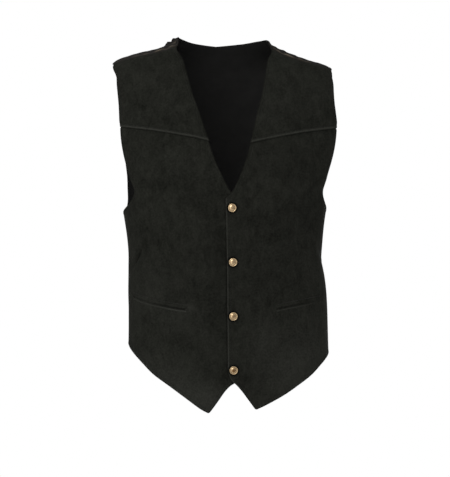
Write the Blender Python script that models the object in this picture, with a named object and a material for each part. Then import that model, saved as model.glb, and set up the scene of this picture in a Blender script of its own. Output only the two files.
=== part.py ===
# Suede vest with a satin back, closed by four snaps: worn form, empty, front toward -Y, +Z up.
# Lengths in the tables are millimetres, angles are degrees of turn round the form:
# 0 at the centre front, +90 at the left side as worn (+X), 180 at the centre back.
import bpy
import bmesh
import numpy as np
from collections import namedtuple

for old in list(bpy.data.objects):
    bpy.data.objects.remove(old)

MM = 0.001
SUEDE_WALL = 2.0        # suede with its turned-in backing
SATIN_WALL = 1.2        # doubled satin of the back
SEAM_GAP = 0.3          # between pieces sewn edge to edge
SEAM_TURN = np.degrees(0.5 * SEAM_GAP / 150.0)  # half of it, as a turn at the sides
LAP_TURN = 5.6          # each front passes the centre line by this much
LAP_LIFT = 2.1          # upper lap stands out, under lap lies in
LAP_EASE = (5.0, 20.0)  # turn over which the lap's step fades
YOKE_LAP = 8.0          # width of lower front hidden under the yoke edge
YOKE_TUCK = 1.9         # turn by which its hidden corner keeps clear of the neckline
YOKE_LIFT = 2.3         # yoke edge above the lower front
YOKE_EASE = (9.0, 24.0) # distance above the yoke edge over which the lift fades
SIDE_TURN = 100.0       # side seam, a little behind the side
WELT_TALL = 9.0
WELT_WALL = 1.2
WELT_SEAT = 0.35
ARC_PER_DEGREE = 2.6    # mean length of one degree of turn

# Sections of the worn form, top to bottom: half-widths to the right and left as worn, depths to the
# front and back, squareness of the oval and sideways place of its middle.
Ring = namedtuple("Ring", "height right left front back square sway")
RINGS = [
    Ring(60, 62, 62, 48, 66, 2.00, -4.0),
    Ring(20, 76, 76, 50, 72, 2.00, -4.5),
    Ring(6, 86, 87, 54, 78, 2.00, -5.0),
    Ring(-8, 108, 104, 60, 84, 2.00, -5.5),
    Ring(-20, 149, 133, 64, 90, 2.00, -6.0),
    Ring(-32, 189, 168, 67, 95, 2.00, -6.0),
    Ring(-44, 208, 204, 72, 99, 2.05, -6.0),
    Ring(-70, 216, 226, 82, 105, 2.10, -5.5),
    Ring(-120, 215, 235, 97, 113, 2.20, -4.5),
    Ring(-190, 210, 225, 110, 118, 2.30, -2.5),
    Ring(-260, 198, 206, 117, 114, 2.35, -1.0),
    Ring(-320, 189, 191, 117, 106, 2.35, 0.5),
    Ring(-390, 182, 183, 114, 97, 2.35, 2.0),
    Ring(-480, 183, 191, 112, 97, 2.35, 3.0),
    Ring(-590, 184, 194, 110, 105, 2.35, 4.0),
    Ring(-720, 188, 197, 106, 112, 2.35, 4.5),
]

# Tilt of the worn cloth: how far an edge drops at the left side and rises at the right,
# and how far the upper front is drawn up between its middle and its side.
Tilt = namedtuple("Tilt", "height drop draw")
TILTS = [
    Tilt(20, 2, 0),
    Tilt(-60, 4, 0),
    Tilt(-150, 0, 0),
    Tilt(-330, 1, 0),
    Tilt(-480, 5, 0),
    Tilt(-576, 8, 0),
    Tilt(-600, 5, 0),
    Tilt(-655, 4, 0.5),
    Tilt(-684, 4, 4),
    Tilt(-720, 4, 4),
]

# Edges of one front and of half the back, each row a place on it. Where the two sides are worn
# differently, 1 is the left side and -1 the right.
Place = namedtuple("Place", "turn height")
FRONT_EDGE = [Place(-LAP_TURN, -608), Place(-LAP_TURN, -291)]
NECK_LOW = [Place(-LAP_TURN, -291), Place(0.5, -278), Place(4.0, -266), Place(7.7, -250), Place(14.2, -220)]
NECK_HIGH = [Place(23.5, -162), Place(28.7, -132), Place(35.2, -103), Place(41.5, -73), Place(52.0, -35),
             Place(66.5, -11)]
NOTCH = {1: [Place(-LAP_TURN, -608), Place(-4.8, -616), Place(-2.2, -627), Place(2.4, -635), Place(7.5, -646),
             Place(14.2, -664), Place(21.5, -686)],
         -1: [Place(-LAP_TURN, -608), Place(-5.2, -621), Place(-2.6, -631), Place(2.4, -637), Place(7.5, -646.5),
              Place(14.2, -663.5), Place(23.3, -686)]}
HEM = {1: [Place(21.5, -686), Place(30, -678), Place(38, -667), Place(46, -653), Place(54, -636.5), Place(62, -619.4),
           Place(70, -600), Place(78, -586.3), Place(86, -579), Place(93, -577), Place(SIDE_TURN, -576)],
       -1: [Place(23.3, -686), Place(30, -678.3), Place(38, -666), Place(46, -652), Place(54, -636), Place(62, -619.8),
            Place(70, -601.6), Place(78, -588), Place(86, -579.6), Place(93, -577), Place(SIDE_TURN, -576)]}
SIDE = [Place(SIDE_TURN, -576), Place(SIDE_TURN, -322)]
ARMHOLE_LOW = [Place(SIDE_TURN, -322), Place(92, -319), Place(83, -312), Place(74.5, -299), Place(69.5, -280),
               Place(71.2, -255), Place(74, -222), Place(75.7, -185)]
ARMHOLE_HIGH = {1: [Place(76.4, -115), Place(77.8, -88), Place(80.4, -65), Place(82.8, -48.5)],
                -1: [Place(77.7, -115), Place(79.3, -88), Place(81.5, -65), Place(85.5, -47.5)]}
SHOULDER = {1: [Place(66.5, -11), Place(68, -19), Place(72, -27), Place(76, -33.5), Place(79.5, -41),
                Place(82.8, -48.5)],
            -1: [Place(66.5, -11), Place(68.3, -18.5), Place(72, -25), Place(77.5, -31), Place(82, -38.5),
                 Place(85.5, -47.5)]}
YOKE_SEAM = {1: [Place(18.6, -190), Place(31, -184), Place(43, -178), Place(60, -168.7), Place(76.1, -161)],
             -1: [Place(19.1, -186.3), Place(31, -180), Place(43, -174.6), Place(60, -166), Place(76.1, -159)]}
BACK_ARMHOLE = [Place(SIDE_TURN, -322), Place(104.5, -305), Place(108, -270), Place(110, -220),
                Place(110.5, -165), Place(109, -115)]
BACK_TIP = {1: [Place(104.5, -80), Place(97.5, -55), Place(90, -43.5), Place(82.8, -48.5)],
            -1: [Place(106.5, -78), Place(103, -56), Place(95, -44), Place(85.5, -47.5)]}
BACK_NECK = [Place(66.5, -11), Place(76, 1), Place(90, 8), Place(115, 8), Place(145, 3), Place(180, -2)]
BACK_HEM = [Place(SIDE_TURN, -576), Place(140, -584), Place(180, -588)]
WELT = {1: [Place(37.4, -494.7), Place(44, -491), Place(52.6, -486.4), Place(61.3, -482.2), Place(73.2, -478)],
        -1: [Place(39.5, -496.6), Place(45.3, -495.2), Place(53.2, -492.3), Place(61.1, -488.9), Place(69.9, -484.4),
             Place(78, -479.3)]}
SNAP_HEIGHTS = [-308, -408, -508, -608]

# Largest folds: middle, lean of the length from upright, half-length, half-width and rise (hollow if minus).
Fold = namedtuple("Fold", "turn height lean long wide rise")
FOLDS = [
    Fold(-73, -402, 47, 26, 8, -2.6),
    Fold(-78, -392, 47, 34, 11, 2.0),
    Fold(-69, -414, 45, 38, 12, 1.8),
    Fold(79, -398, -38, 46, 13, -2.5),
    Fold(70, -412, -38, 44, 13, 1.8),
    Fold(-58, -600, 4, 95, 26, 2.5),
    Fold(60, -590, -5, 105, 30, 3.0),
    Fold(35, -610, 3, 90, 22, -1.8),
    Fold(-36, -600, -4, 85, 20, -1.8),
    Fold(58, -285, 50, 60, 20, 2.4),
    Fold(-58, -285, -50, 60, 20, 2.4),
    Fold(180, -430, 0, 120, 24, -3.0),
    Fold(148, -420, 12, 120, 22, 3.0),
    Fold(212, -410, -12, 120, 22, 2.6),
    Fold(128, -380, 25, 80, 16, -2.6),
    Fold(232, -390, -25, 80, 16, -2.6),
]

# Grid counts: along edges that two pieces share the counts are the same.
NOTCH_STEPS = 4
HEM_STEPS = 11
EDGE_STEPS = 14
NECK_LOW_STEPS = 7
SIDE_STEPS = 12
ARMHOLE_LOW_STEPS = EDGE_STEPS + NECK_LOW_STEPS - SIDE_STEPS
YOKE_ROWS = 7
BACK_ARMHOLE_STEPS = 13
SEAM_STEPS = NOTCH_STEPS + HEM_STEPS
BACK_STEPS = 14         # from the side seam to the centre back
WELT_STEPS = 10

# Turned profiles of the snap, radius and height above its seat.
Turned = namedtuple("Turned", "radius height")
CAP = [Turned(0, 0), Turned(6.6, 0), Turned(8.0, 0.5), Turned(8.0, 1.0), Turned(7.2, 1.7), Turned(6.3, 1.9),
       Turned(5.4, 1.6), Turned(4.0, 2.2), Turned(2.2, 2.8), Turned(0, 3.0)]
STUD = [Turned(0, 0), Turned(5.0, 0), Turned(5.0, 0.9), Turned(3.6, 1.5), Turned(0, 1.5)]
POST = [Turned(2.0, 0), Turned(6.0, 0), Turned(6.0, 0.5), Turned(4.8, 1.1), Turned(2.8, 1.1), Turned(2.0, 0.6)]
TURNED_SIDES = 18


def through(rows, key, value, at):
    # smooth curve through the rows of a table: cubic pieces whose slopes come from the neighbours
    rows = sorted(rows, key=lambda row: getattr(row, key))
    x = np.array([getattr(row, key) for row in rows], float)
    y = np.array([getattr(row, value) for row in rows], float)
    steepness = np.gradient(y, x)
    i = np.clip(np.searchsorted(x, at) - 1, 0, len(x) - 2)
    span = x[i + 1] - x[i]
    t = np.clip((at - x[i]) / span, 0, 1)
    return ((1 + 2 * t) * (1 - t) ** 2 * y[i] + t * (1 - t) ** 2 * span * steepness[i]
            + t * t * (3 - 2 * t) * y[i + 1] + t * t * (t - 1) * span * steepness[i + 1])


def radius(turn, height):
    # distance of the form from its upright axis
    right, left, front, back, square = [through(RINGS, "height", size, height)
                                        for size in ("right", "left", "front", "back", "square")]
    side, ahead = np.sin(turn), np.cos(turn)
    wide = np.where(side < 0, right, left)
    deep = np.where(ahead > 0, front, back)
    return (np.abs(side / wide) ** square + np.abs(ahead / deep) ** square) ** (-1 / square)


def turn_of(points):
    across = points[..., 0] - through(RINGS, "height", "sway", points[..., 2])
    return np.arctan2(across, -points[..., 1])


def gap(points):
    across = points[..., 0] - through(RINGS, "height", "sway", points[..., 2])
    return np.hypot(across, points[..., 1]) - radius(turn_of(points), points[..., 2])


def slope(points, step=0.2):
    return np.stack([(gap(points + step * axis) - gap(points - step * axis)) / (2 * step)
                     for axis in np.eye(3)], -1)


def settle(points):
    # moves points square to the form until they lie on it
    for _ in range(14):
        lean = slope(points)
        points = points - (gap(points) / (lean ** 2).sum(-1))[..., None] * lean
    return points


def outward(points):
    lean = slope(points)
    return lean / np.linalg.norm(lean, axis=-1, keepdims=True)


def on_form(turn, height):
    turn = np.radians(turn)
    drop = through(TILTS, "height", "drop", height) * np.sin(turn) ** 3
    draw = through(TILTS, "height", "draw", height) * np.sin(2 * turn)
    height = height - drop + draw
    reach = radius(turn, height)
    sway = through(RINGS, "height", "sway", height)
    return np.stack([sway + reach * np.sin(turn), -reach * np.cos(turn), height], -1)


def edge(places, steps, side=1, shift=0.0):
    # an edge laid on the form: smooth through its places, cut to equal steps or to given shares of its length
    shares = np.linspace(0, 1, steps + 1) if np.isscalar(steps) else np.asarray(steps)
    turn = np.array([place.turn for place in places], float) + shift
    height = np.array([place.height for place in places], float)
    along = np.concatenate([[0], np.cumsum(np.hypot(np.diff(turn) * ARC_PER_DEGREE, np.diff(height)))])
    Knot = namedtuple("Knot", "along turn height")
    knots = [Knot(*row) for row in zip(along, turn, height)]
    fine = np.linspace(0, along[-1], 400)
    points = on_form(side * through(knots, "along", "turn", fine), through(knots, "along", "height", fine))
    length = np.concatenate([[0], np.cumsum(np.linalg.norm(np.diff(points, axis=0), axis=1))])
    return np.stack([np.interp(shares * length[-1], length, points[:, k]) for k in range(3)], -1)


def joined(*edges):
    return np.concatenate([edges[0]] + [piece[1:] for piece in edges[1:]])


def panel(bottom, top, start, end):
    # fills four edges: the blend of the facing pairs less the blend of the corners, laid on the form
    u = np.linspace(0, 1, len(bottom))[None, :, None]
    v = np.linspace(0, 1, len(start))[:, None, None]
    across = (1 - v) * bottom[None] + v * top[None]
    upward = (1 - u) * start[:, None] + u * end[:, None]
    corners = (1 - v) * ((1 - u) * bottom[0] + u * bottom[-1]) + v * ((1 - u) * top[0] + u * top[-1])
    return settle(across + upward - corners)


def folds(points):
    # soft ridges and hollows, bell-shaped across and along
    turn = np.degrees(turn_of(points))
    rise = np.zeros(turn.shape)
    for fold in FOLDS:
        across = ((turn - fold.turn + 180) % 360 - 180) * ARC_PER_DEGREE
        upward = points[..., 2] - fold.height
        lean = np.radians(fold.lean)
        over = across * np.cos(lean) - upward * np.sin(lean)
        along = across * np.sin(lean) + upward * np.cos(lean)
        rise = rise + fold.rise * np.exp(-(over / fold.wide) ** 2 - (along / fold.long) ** 2)
    return rise


def eased(value, full, none):
    # 1 before full, 0 after none
    t = np.clip((value - full) / (none - full), 0, 1)
    return 1 - t * t * (3 - 2 * t)


def finish(name, bm, colour, rough, metal=0.0):
    bmesh.ops.recalc_face_normals(bm, faces=bm.faces)
    mesh = bpy.data.meshes.new(name)
    bm.to_mesh(mesh)
    bm.free()
    body = bpy.data.objects.new(name, mesh)
    bpy.context.collection.objects.link(body)
    material = bpy.data.materials.new(name)
    material.use_nodes = True
    shader = material.node_tree.nodes["Principled BSDF"]
    shader.inputs["Base Color"].default_value = (*colour, 1)
    shader.inputs["Roughness"].default_value = rough
    shader.inputs["Metallic"].default_value = metal
    mesh.materials.append(material)


SUEDE = dict(colour=(0.014, 0.0145, 0.012), rough=0.95)
SATIN = dict(colour=(0.012, 0.011, 0.010), rough=0.35)
BRASS = dict(colour=(0.42, 0.33, 0.18), rough=0.35, metal=1.0)


def cloth(name, form, lift, wall, look):
    # a wall between the form raised by lift and the same raised by lift and wall
    normal = outward(form)
    base = lift + folds(form)
    inner = form + base[..., None] * normal
    outer = form + (base + wall)[..., None] * normal
    rows, columns = form.shape[:2]
    bm = bmesh.new()
    faces = [[[bm.verts.new(point * MM) for point in row] for row in sheet] for sheet in (inner, outer)]
    for sheet in faces:
        for j in range(rows - 1):
            for i in range(columns - 1):
                bm.faces.new((sheet[j][i], sheet[j][i + 1], sheet[j + 1][i + 1], sheet[j + 1][i]))
    rim = [(0, i) for i in range(columns - 1)] + [(j, columns - 1) for j in range(rows - 1)]
    rim += [(rows - 1, i) for i in range(columns - 1, 0, -1)] + [(j, 0) for j in range(rows - 1, 0, -1)]
    low, high = faces
    for (j, i), (n, m) in zip(rim, rim[1:] + rim[:1]):
        bm.faces.new((low[j][i], low[n][m], high[n][m], high[j][i]))
    finish(name, bm, **look)


def front(side, name):
    lap_lift = LAP_LIFT * side
    seam = YOKE_SEAM[side]
    notch_and_hem = joined(edge(NOTCH[side], NOTCH_STEPS, side), edge(HEM[side], HEM_STEPS, side, -SEAM_TURN))
    hidden_top = [Place(place.turn, place.height + YOKE_LAP) for place in seam]
    hidden_top[0] = Place(hidden_top[0].turn + YOKE_TUCK, hidden_top[0].height)
    neck = NECK_LOW + [hidden_top[0]]
    armhole = ARMHOLE_LOW + [hidden_top[-1]]
    lower = panel(notch_and_hem,
                  edge(hidden_top, SEAM_STEPS, side),
                  joined(edge(FRONT_EDGE, EDGE_STEPS, side), edge(neck, NECK_LOW_STEPS, side)),
                  joined(edge(SIDE, SIDE_STEPS, side, -SEAM_TURN), edge(armhole, ARMHOLE_LOW_STEPS, side)))
    turn = np.degrees(turn_of(lower)) * side
    cloth(name, lower, lap_lift * eased(turn, *LAP_EASE), SUEDE_WALL, SUEDE)

    long = abs(seam[0].height)
    near = np.array([0, YOKE_EASE[0], 0.5 * (YOKE_EASE[0] + YOKE_EASE[1]), YOKE_EASE[1]]) / long
    shares = np.concatenate([near, np.linspace(near[-1], 1, YOKE_ROWS)[1:]])
    yoke = panel(edge(seam, SEAM_STEPS, side),
                 edge(SHOULDER[side], SEAM_STEPS, side, -SEAM_TURN),
                 edge([seam[0]] + NECK_HIGH, shares, side),
                 edge([seam[-1]] + ARMHOLE_HIGH[side], shares, side))
    above = np.linalg.norm(yoke - yoke[:1], axis=-1)
    cloth(name + "_yoke", yoke, YOKE_LIFT * eased(above, *YOKE_EASE), SUEDE_WALL, SUEDE)

    slit = edge(WELT[side], WELT_STEPS, side)
    tall = np.linspace(0, WELT_TALL, 3)[:, None, None] * np.array([0, 0, 1.0])
    welt = settle(slit[None] + tall)
    seat = np.full(welt.shape[:2], SUEDE_WALL + WELT_SEAT)
    cloth(name.replace("front", "welt"), welt, seat, WELT_WALL, SUEDE)


def back():
    left, right = [joined(edge(SIDE, SIDE_STEPS, side, SEAM_TURN),
                          edge(BACK_ARMHOLE + BACK_TIP[side], BACK_ARMHOLE_STEPS, side, SEAM_TURN),
                          edge(SHOULDER[side][::-1], SEAM_STEPS, side, SEAM_TURN)) for side in (1, -1)]
    hem = joined(edge(BACK_HEM, BACK_STEPS), edge(BACK_HEM, BACK_STEPS, -1)[::-1])
    neck = joined(edge(BACK_NECK, BACK_STEPS), edge(BACK_NECK, BACK_STEPS, -1)[::-1])
    hem[0], hem[-1] = left[0], right[0]
    neck[0], neck[-1] = left[-1], right[-1]
    form = panel(hem, neck, left, right)
    cloth("back", form, np.zeros(form.shape[:2]), SATIN_WALL, SATIN)


def turned(name, profile, seat, axis, look):
    # a profile turned about an axis square to the cloth
    axis = axis / np.linalg.norm(axis)
    across = np.cross(axis, [0, 0, 1.0])
    across = across / np.linalg.norm(across)
    upward = np.cross(axis, across)
    angle = np.linspace(0, 2 * np.pi, TURNED_SIDES, endpoint=False)
    bm = bmesh.new()
    loops = []
    for row in profile:
        if row.radius == 0:
            loops.append([bm.verts.new((seat + row.height * axis) * MM)] * TURNED_SIDES)
        else:
            ring = seat + row.height * axis + row.radius * (np.cos(angle)[:, None] * across
                                                            + np.sin(angle)[:, None] * upward)
            loops.append([bm.verts.new(point * MM) for point in ring])
    pairs = list(zip(loops, loops[1:]))
    if profile[0].radius > 0:
        pairs.append((loops[-1], loops[0]))
    for low, high in pairs:
        for i in range(TURNED_SIDES):
            k = (i + 1) % TURNED_SIDES
            corners = list(dict.fromkeys((low[i], low[k], high[k], high[i])))
            bm.faces.new(corners)
    finish(name, bm, **look)


def snap(number, height):
    place = on_form(np.array([0.0]), np.array([float(height)]))
    axis = outward(place)[0]
    skin = place[0] + folds(place)[0] * axis
    turned(f"snap_cap_{number}", CAP, skin + (LAP_LIFT + SUEDE_WALL + SEAM_GAP) * axis, axis, BRASS)
    turned(f"snap_stud_{number}", STUD, skin + (SUEDE_WALL - LAP_LIFT + SEAM_GAP) * axis, axis, BRASS)
    turned(f"snap_post_{number}", POST, skin - (LAP_LIFT + SEAM_GAP + 0.15) * axis, -axis, BRASS)


front(-1, "front_right")
front(1, "front_left")
back()
for number, height in enumerate(SNAP_HEIGHTS, 1):
    snap(number, height)
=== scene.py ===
# Suede vest with a satin back: fine cloth, sewing, snaps, finishes, light and camera.
# Lengths are millimetres until a mesh is made. Turn is degrees round the form: 0 at the centre front,
# 90 at the left side.
import math
import bpy
import numpy as np
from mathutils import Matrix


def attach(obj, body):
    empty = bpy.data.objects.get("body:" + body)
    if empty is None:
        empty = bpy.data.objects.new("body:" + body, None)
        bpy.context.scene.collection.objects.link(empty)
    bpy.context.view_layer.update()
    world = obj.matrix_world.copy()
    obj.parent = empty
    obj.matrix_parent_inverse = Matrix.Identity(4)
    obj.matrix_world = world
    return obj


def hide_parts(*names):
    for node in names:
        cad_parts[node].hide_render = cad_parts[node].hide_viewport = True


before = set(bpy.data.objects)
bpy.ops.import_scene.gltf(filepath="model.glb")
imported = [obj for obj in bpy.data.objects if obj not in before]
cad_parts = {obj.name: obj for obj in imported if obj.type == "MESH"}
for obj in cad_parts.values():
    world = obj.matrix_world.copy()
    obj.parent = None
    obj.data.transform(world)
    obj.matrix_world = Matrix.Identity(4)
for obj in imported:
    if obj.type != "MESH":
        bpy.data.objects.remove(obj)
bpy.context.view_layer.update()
mm = 0.001
print("frame loaded")

# worn form, one column per size: half-widths, depths, squareness of the oval, sideways place of its middle
form = {
    "height": [60, 20, 6, -8, -20, -32, -44, -70, -120, -190, -260, -320, -390, -480, -590, -720],
    "right": [62, 76, 86, 108, 149, 189, 208, 216, 215, 210, 198, 189, 182, 183, 184, 188],
    "left": [62, 76, 87, 104, 133, 168, 204, 226, 235, 225, 206, 191, 183, 191, 194, 197],
    "front": [48, 50, 54, 60, 64, 67, 72, 82, 97, 110, 117, 117, 114, 112, 110, 106],
    "back": [66, 72, 78, 84, 90, 95, 99, 105, 113, 118, 114, 106, 97, 97, 105, 112],
    "square": [2, 2, 2, 2, 2, 2, 2.05, 2.1, 2.2, 2.3, 2.35, 2.35, 2.35, 2.35, 2.35, 2.35],
    "sway": [-4, -4.5, -5, -5.5, -6, -6, -6, -5.5, -4.5, -2.5, -1, 0.5, 2, 3, 4, 4.5],
}
# tilt of the worn cloth: drop at the left side, and how far the hem is drawn up toward the side
tilt = {
    "height": [20, -60, -150, -330, -480, -576, -600, -655, -684, -720],
    "drop": [2, 4, 0, 1, 5, 8, 5, 4, 4, 4],
    "draw": [0, 0, 0, 0, 0, 0, 0, 0.5, 4, 4],
}
arcPerDegree = 2.6  # mean length of a degree of turn
uneven = (0.5, 110)  # size and reach of the slow unevenness of all cloth


# cubic pieces through the rows of a table; the slope at a row is that of its neighbours
def smoothTable(at, knots, columns):
    knots, columns = np.asarray(knots, float), np.asarray(columns, float)
    if knots[0] > knots[-1]:
        knots, columns = knots[::-1], columns[::-1]
    slopes = np.gradient(columns, knots, axis=0)
    i = np.clip(np.searchsorted(knots, at) - 1, 0, len(knots) - 2)
    span = (knots[i + 1] - knots[i])[..., None]
    t = np.clip((np.asarray(at) - knots[i])[..., None] / span, 0, 1)
    return ((1 + 2 * t) * (1 - t) ** 2 * columns[i] + t * (1 - t) ** 2 * span * slopes[i]
            + t * t * (3 - 2 * t) * columns[i + 1] + t * t * (t - 1) * span * slopes[i + 1])


formRows = np.array([form[k] for k in ("right", "left", "front", "back", "square", "sway")], float).T
tiltRows = np.array([tilt[k] for k in ("drop", "draw")], float).T


# polar radius of a rounded oval whose four half-axes and squareness change with height
def ovalRadius(turn, rows):
    side, ahead = np.sin(turn), np.cos(turn)
    wide = np.where(side < 0, rows[..., 0], rows[..., 1])
    deep = np.where(ahead > 0, rows[..., 2], rows[..., 3])
    power = rows[..., 4]
    return (np.abs(side / wide) ** power + np.abs(ahead / deep) ** power) ** (-1 / power)


# turn of each point round the swaying middle of the form
def turnOf(points):
    sway = smoothTable(points[..., 2], form["height"], formRows)[..., 5]
    return np.arctan2(points[..., 0] - sway, -points[..., 1])


# distance from the upright axis less the oval's radius there
def formGap(points):
    rows = smoothTable(points[..., 2], form["height"], formRows)
    across = points[..., 0] - rows[..., 5]
    return np.hypot(across, points[..., 1]) - ovalRadius(np.arctan2(across, -points[..., 1]), rows)


# central differences of the gap
def formSlope(points, step=0.2):
    return np.stack([(formGap(points + step * axis) - formGap(points - step * axis)) / (2 * step)
                     for axis in np.eye(3)], -1)


# moves points down the gap's slope until they lie on the form
def settle(points, rounds=8):
    for _ in range(rounds):
        slope = formSlope(points)
        points = points - (formGap(points) / (slope ** 2).sum(-1))[..., None] * slope
    return points


# vectors made one long
def unit(vectors):
    return vectors / np.linalg.norm(vectors, axis=-1, keepdims=True)


# way out of the form at each point: the gap's slope, made one long
def formNormal(points):
    return unit(formSlope(points))


# a place on the form from its turn and height, with the tilt of the worn cloth
def layOnForm(turn, height):
    turn = np.radians(turn)
    shift = smoothTable(height, tilt["height"], tiltRows)
    height = height - shift[..., 0] * np.sin(turn) ** 3 + shift[..., 1] * np.sin(2 * turn)
    rows = smoothTable(height, form["height"], formRows)
    reach = ovalRadius(turn, rows)
    return np.stack([rows[..., 5] + reach * np.sin(turn), -reach * np.cos(turn), height], -1)


# sum of a line's steps
def lineLength(line):
    return np.linalg.norm(np.diff(line, axis=0), axis=1).sum()


# points of a line, or values along it, at given shares of its length
def cutLine(line, shares, values=None):
    values = line if values is None else values
    along = np.concatenate([[0], np.cumsum(np.linalg.norm(np.diff(line, axis=0), axis=1))])
    return np.stack([np.interp(np.asarray(shares) * along[-1], along, values[:, k]) for k in range(3)], -1)


# a smooth line on the form through (turn, height) rows
def layLine(rows, side=1, shift=0.0):
    rows = np.array(rows, float)
    rows[:, 0] += shift
    along = np.concatenate([[0], np.cumsum(np.hypot(np.diff(rows[:, 0]) * arcPerDegree, np.diff(rows[:, 1])))])
    path = smoothTable(np.linspace(0, along[-1], 900), along, rows)
    line = layOnForm(side * path[:, 0], path[:, 1])
    return cutLine(line, np.linspace(0, 1, int(lineLength(line)) + 1))


# lines end to end, each shared point once
def joinLines(*lines):
    return np.concatenate([lines[0]] + [line[1:] for line in lines[1:]])


# rounds the corners of a line by averaging over a few millimetres, keeping its ends
def softenLine(line, reach):
    line = cutLine(line, np.linspace(0, 1, int(lineLength(line)) + 1))
    padded = np.concatenate([2 * line[:1] - line[reach:0:-1], line, 2 * line[-1:] - line[-2:-reach - 2:-1]])
    weight = np.hanning(2 * reach + 3)[1:-1]
    weight = weight / weight.sum()
    return settle(np.stack([np.convolve(padded[:, k], weight, "valid") for k in range(3)], -1), 3)


# the same line moved over the form, to its left for hand 1 and to its right for -1
def insetLine(line, distance, hand):
    inward = unit(np.cross(formNormal(line), np.gradient(line, axis=0)))
    return settle(line + hand * distance * inward, 3)


# shares of a line's length: given distances near its two ends, even steps between
def crowdedShares(line, count, near=(), far=()):
    length = lineLength(line)
    start = np.array([0, *near], float) / length
    end = 1 - np.array([0, *far], float)[::-1] / length
    middle = np.linspace(start[-1], end[0], count + 1 - len(near) - len(far))
    return np.concatenate([start, middle[1:-1], end])


# the blend of facing edges less the blend of the corners, settled on the form
def fillEdges(bottom, top, start, end, across, upward):
    u, v = across[None, :, None], upward[:, None, None]
    facing = (1 - v) * bottom[None] + v * top[None] + (1 - u) * start[:, None] + u * end[:, None]
    corners = (1 - v) * ((1 - u) * bottom[0] + u * bottom[-1]) + v * ((1 - u) * top[0] + u * top[-1])
    return settle(facing - corners)


# nearest point of a closely cut line to each point: its distance and its number
def nearestOn(points, line):
    flat, shape = points.reshape(-1, 3), points.shape[:-1]
    distance, number = [], []
    for block in np.array_split(flat, max(1, len(flat) // 2000)):
        square = ((block[:, None] - line[None]) ** 2).sum(-1)
        number.append(square.argmin(1))
        distance.append(np.sqrt(square.min(1)))
    return np.concatenate(distance).reshape(shape), np.concatenate(number).reshape(shape)


# distance to the nearest of some lines
def lineDistance(points, *lines):
    return np.min([nearestOn(points, line)[0] for line in lines], axis=0)


# 1 up to full, 0 from none on, smooth between
def easeOut(value, full, none):
    t = np.clip((value - full) / (none - full), 0, 1)
    return 1 - t * t * (3 - 2 * t)


# 1 at nought, falling with the square of the value over the width
def bell(value, width):
    return np.exp(-(value / width) ** 2)


# large folds, as on the solids: middle, lean of the length from upright, half-length, half-width and rise,
# which is minus for a hollow
folds = {
    "turn": [-73, -78, -69, 79, 70, -58, 60, 35, -36, 58, -58, 180, 148, 212, 128, 232],
    "height": [-402, -392, -414, -398, -412, -600, -590, -610, -600, -285, -285, -430, -420, -410, -380, -390],
    "lean": [47, 47, 45, -38, -38, 4, -5, 3, -4, 50, -50, 0, 12, -12, 25, -25],
    "long": [26, 34, 38, 46, 44, 95, 105, 90, 85, 60, 60, 120, 120, 120, 80, 80],
    "wide": [8, 11, 12, 13, 13, 26, 30, 22, 20, 20, 20, 24, 22, 22, 16, 16],
    "rise": [-2.6, 2.0, 1.8, -2.5, 1.8, 2.5, 3.0, -1.8, -1.8, 2.4, 2.4, -3.0, 3.0, 2.6, -2.6, -2.6],
}
# smaller creases of the suede
creases = {
    "turn": [-73, -76.5, -80, 76, 84, -66, 66, 62, -61, -44, 42, -26, 27, -88, 90],
    "height": [-401, -398, -362, -392, -412, -352, -350, -268, -262, -236, -240, -540, -556, -470, -455],
    "lean": [33, 33, 40, -42, -36, 60, -58, 40, -42, -30, 32, -8, 10, 20, -16],
    "long": [17, 20, 9, 20, 15, 22, 24, 30, 26, 34, 30, 60, 54, 34, 38],
    "wide": [2.4, 5.5, 2.4, 3.2, 2.8, 4.0, 4.2, 6.0, 5.5, 8.0, 7.0, 14, 13, 6, 7],
    "rise": [-2.2, 1.3, -1.2, -1.0, 0.7, -0.6, -0.6, -0.8, -0.8, 0.7, 0.7, 0.9, 0.8, -0.9, -0.8],
}
# patches of the nap's tone, partly rubbed nap and partly painted light and shade; darker if minus
rubsAndShade = {
    "turn": [-46, -20, 50, 28, -66, -46, -36.5, 75, -70, 44, -13, 62, 46, 42],
    "height": [-640, -662, -602, -560, -468, -512, -491, -84, -92, -390, -420, -318, -112, -228],
    "lean": [-52, -60, 50, 20, 15, 60, 0, 10, 0, 20, 0, -10, 30, 0],
    "long": [70, 36, 74, 50, 52, 34, 8, 26, 34, 84, 110, 60, 44, 50],
    "wide": [36, 26, 44, 36, 30, 26, 7, 18, 26, 46, 34, 38, 38, 46],
    "rise": [0.50, 0.48, 0.42, 0.18, 0.14, 0.18, 0.42, 0.14, 0.02, -0.16, -0.16, -0.14, 0.08, -0.14],
}


# sum of bells across and along the rows of a table
def foldRise(points, table):
    turn = np.degrees(turnOf(points))
    rise = np.zeros(turn.shape)
    for turnAt, heightAt, lean, long, wide, size in zip(*table.values()):
        across = ((turn - turnAt + 180) % 360 - 180) * arcPerDegree
        upward = points[..., 2] - heightAt
        lean = math.radians(lean)
        over = across * math.cos(lean) - upward * math.sin(lean)
        along = across * math.sin(lean) + upward * math.cos(lean)
        rise = rise + size * bell(over, wide) * bell(along, long)
    return rise


# slow unevenness: the mean of sines in seven fixed directions
def wander(points, size, reach):
    way = np.array([[0.9, 0.3, 0.4], [-0.5, 0.7, 0.6], [0.2, -0.8, 0.9], [0.7, 0.6, -0.5],
                    [-0.8, 0.2, 0.8], [0.4, 0.9, -0.7], [0.1, 0.5, 1.1]])
    phase = np.array([0.3, 1.7, 2.9, 4.1, 5.2, 0.9, 3.6])
    rate = 2 * np.pi / (reach * np.array([1.0, 0.83, 1.27, 0.71, 1.1, 0.93, 1.4]))
    return 2 * size * np.sin(points @ (way.T * rate) + phase).mean(-1)


# height of the suede over the form: folds, creases and unevenness
def suedeRise(points):
    return foldRise(points, folds) + foldRise(points, creases) + wander(points, *uneven)
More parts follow.
